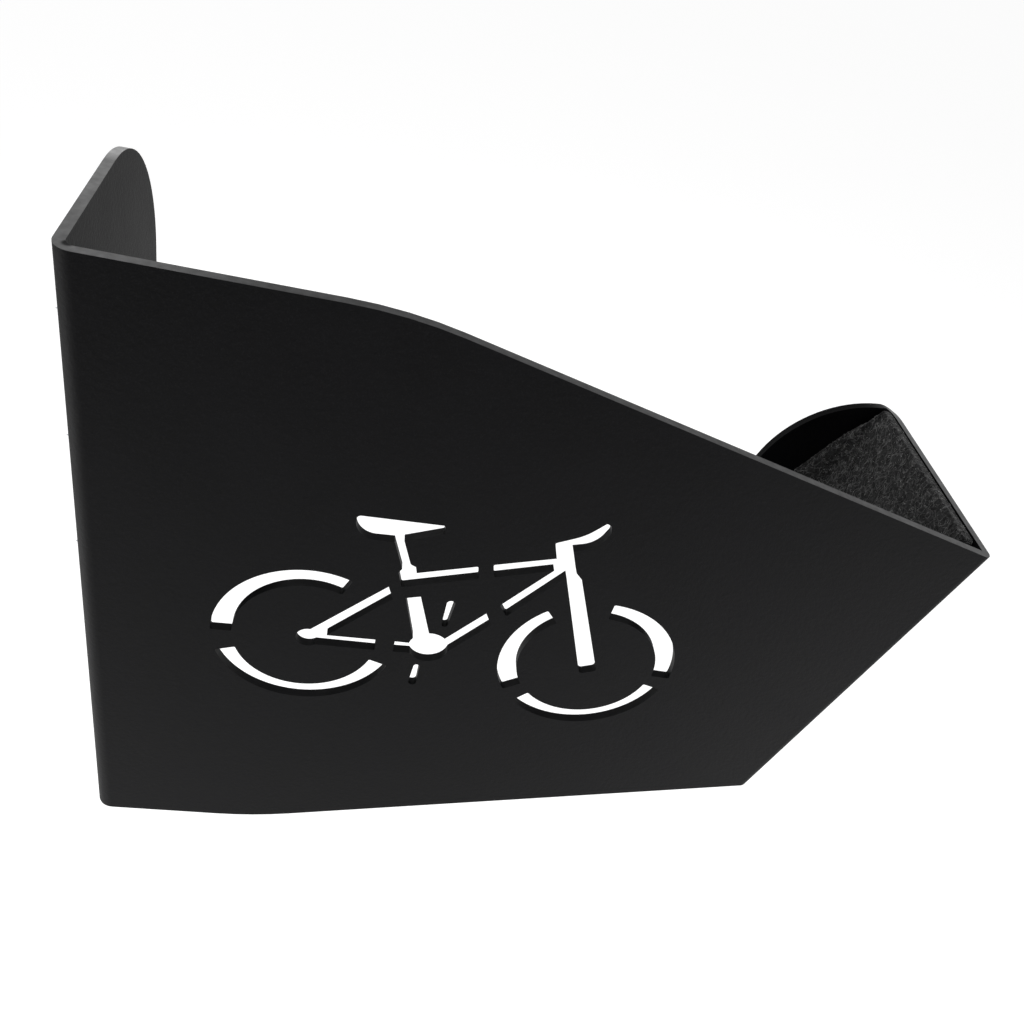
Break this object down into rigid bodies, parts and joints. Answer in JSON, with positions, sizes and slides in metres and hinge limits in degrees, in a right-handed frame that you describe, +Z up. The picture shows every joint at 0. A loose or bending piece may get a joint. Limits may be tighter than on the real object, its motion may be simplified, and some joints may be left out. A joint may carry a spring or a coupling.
{
  "type": "horizontal wall bike rack",
  "caption": "Folded black steel wall bracket that holds a bicycle level by its pedal in a felt-lined pocket, with a bicycle stencil cut through the arm.",
  "frame": {"origin": "middle of the wall flange's back face, on the wall", "axes": "+X out from the wall along the arm, +Y from the arm's stencilled outer face towards the free edge of the wall flange, +Z up"},
  "size_m": [0.3516, 0.1164, 0.2611],
  "materials": {
    "black_powder_coat": "satin fine texture",
    "charcoal_felt": "matt fibrous",
    "zinc_plated_steel": "satin zinc"
  },
  "bodies": {
    "root": {"bracket": "black_powder_coat", "felt_lining": "charcoal_felt", "washer_lower": "zinc_plated_steel", "screw_lower": "zinc_plated_steel", "washer_middle": "zinc_plated_steel", "screw_middle": "zinc_plated_steel", "washer_upper": "zinc_plated_steel", "screw_upper": "zinc_plated_steel"}
  },
  "joints": []
}
